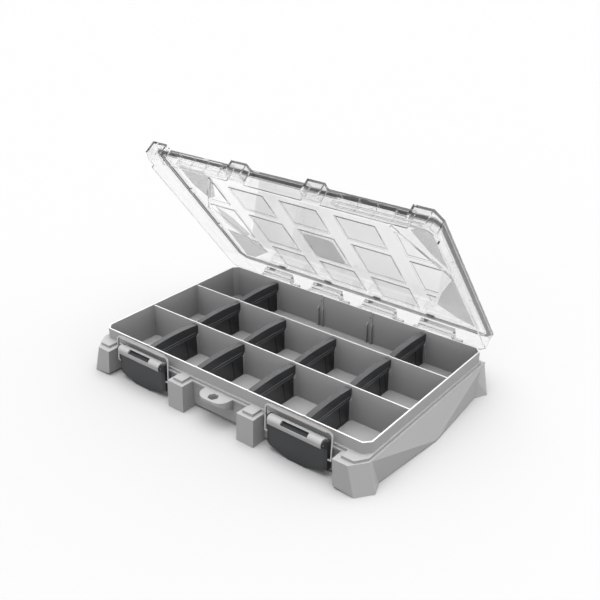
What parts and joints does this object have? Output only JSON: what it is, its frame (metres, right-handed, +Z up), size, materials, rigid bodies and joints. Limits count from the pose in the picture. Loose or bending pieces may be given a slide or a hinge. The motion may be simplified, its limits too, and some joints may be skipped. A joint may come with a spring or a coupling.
{
  "type": "small parts storage case",
  "caption": "Flat case for small parts: a compartment tray with lift-out dividers, a clear hinged lid with a seal, and draw latches along the front.",
  "frame": {"origin": "on the floor plane, at the middle of the bounding box, under the middle of the tray's rim", "axes": "+X to the right along the front, +Y to the back where the hinges are, +Z up"},
  "size_m": [0.3572, 0.236, 0.2212],
  "materials": {
    "tray": "fine matt moulded",
    "lid": "clear moulded plastic",
    "seal": "matt",
    "steel": "bright drawn wire",
    "pin": "clear moulded plastic",
    "latch": "satin moulded",
    "divider": "satin moulded"
  },
  "bodies": {
    "tray": {"base_tray": "tray", "hinge_pin_1": "pin", "hinge_pin_2": "pin", "hinge_pin_3": "pin", "hinge_pin_4": "pin"},
    "lid": {"lid_shell": "lid", "lid_seal": "seal"},
    "left_lever": {"left_latch_lever": "latch", "left_latch_pin": "steel"},
    "left_bail": {"left_latch_bail": "steel"},
    "right_lever": {"right_latch_lever": "latch", "right_latch_pin": "steel"},
    "right_bail": {"right_latch_bail": "steel"},
    "divider_front_1": {"divider_front_1": "divider"},
    "divider_front_2": {"divider_front_2": "divider"},
    "divider_front_3": {"divider_front_3": "divider"},
    "divider_front_4": {"divider_front_4": "divider"},
    "divider_middle_1": {"divider_middle_1": "divider"},
    "divider_middle_2": {"divider_middle_2": "divider"},
    "divider_middle_3": {"divider_middle_3": "divider"},
    "divider_middle_4": {"divider_middle_4": "divider"},
    "divider_back_1": {"divider_back_1": "divider"},
    "divider_back_4": {"divider_back_4": "divider"}
  },
  "joints": [
    {"name": "lid_hinge", "type": "hinge", "parent": "tray", "child": "lid", "pos_m": [0, 0.114, 0.0346], "axis": [-1, 0, 0], "range_deg": [-52.24, 57.8]},
    {"name": "left_lever_swing", "type": "hinge", "parent": "tray", "child": "left_lever", "pos_m": [-0.09855, -0.1124, 0.0343], "axis": [-1, 0, 0], "range_deg": [0, 98]},
    {"name": "left_bail_swing", "type": "hinge", "parent": "left_lever", "child": "left_bail", "pos_m": [-0.09855, -0.1092, 0.019], "axis": [-1, 0, 0], "range_deg": [-47.5, 0]},
    {"name": "right_lever_swing", "type": "hinge", "parent": "tray", "child": "right_lever", "pos_m": [0.09855, -0.1124, 0.0343], "axis": [-1, 0, 0], "range_deg": [0, 98]},
    {"name": "right_bail_swing", "type": "hinge", "parent": "right_lever", "child": "right_bail", "pos_m": [0.09855, -0.1092, 0.019], "axis": [-1, 0, 0], "range_deg": [-47.5, 0]},
    {"name": "divider_front_1_lift", "type": "slide", "parent": "tray", "child": "divider_front_1", "axis": [0, 0, 1], "range_m": [0, 0.024]},
    {"name": "divider_front_2_lift", "type": "slide", "parent": "tray", "child": "divider_front_2", "axis": [0, 0, 1], "range_m": [0, 0.024]},
    {"name": "divider_front_3_lift", "type": "slide", "parent": "tray", "child": "divider_front_3", "axis": [0, 0, 1], "range_m": [0, 0.024]},
    {"name": "divider_front_4_lift", "type": "slide", "parent": "tray", "child": "divider_front_4", "axis": [0, 0, 1], "range_m": [0, 0.024]},
    {"name": "divider_middle_1_lift", "type": "slide", "parent": "tray", "child": "divider_middle_1", "axis": [0, 0, 1], "range_m": [0, 0.024]},
    {"name": "divider_middle_2_lift", "type": "slide", "parent": "tray", "child": "divider_middle_2", "axis": [0, 0, 1], "range_m": [0, 0.024]},
    {"name": "divider_middle_3_lift", "type": "slide", "parent": "tray", "child": "divider_middle_3", "axis": [0, 0, 1], "range_m": [0, 0.024]},
    {"name": "divider_middle_4_lift", "type": "slide", "parent": "tray", "child": "divider_middle_4", "axis": [0, 0, 1], "range_m": [0, 0.024]},
    {"name": "divider_back_1_lift", "type": "slide", "parent": "tray", "child": "divider_back_1", "axis": [0, 0, 1], "range_m": [0, 0.024]},
    {"name": "divider_back_4_lift", "type": "slide", "parent": "tray", "child": "divider_back_4", "axis": [0, 0, 1], "range_m": [0, 0.024]}
  ],
  "couplings": [
    {"joint": "left_bail_swing", "follows": "left_lever_swing", "ratio": -0.48},
    {"joint": "right_bail_swing", "follows": "right_lever_swing", "ratio": -0.48}
  ]
}
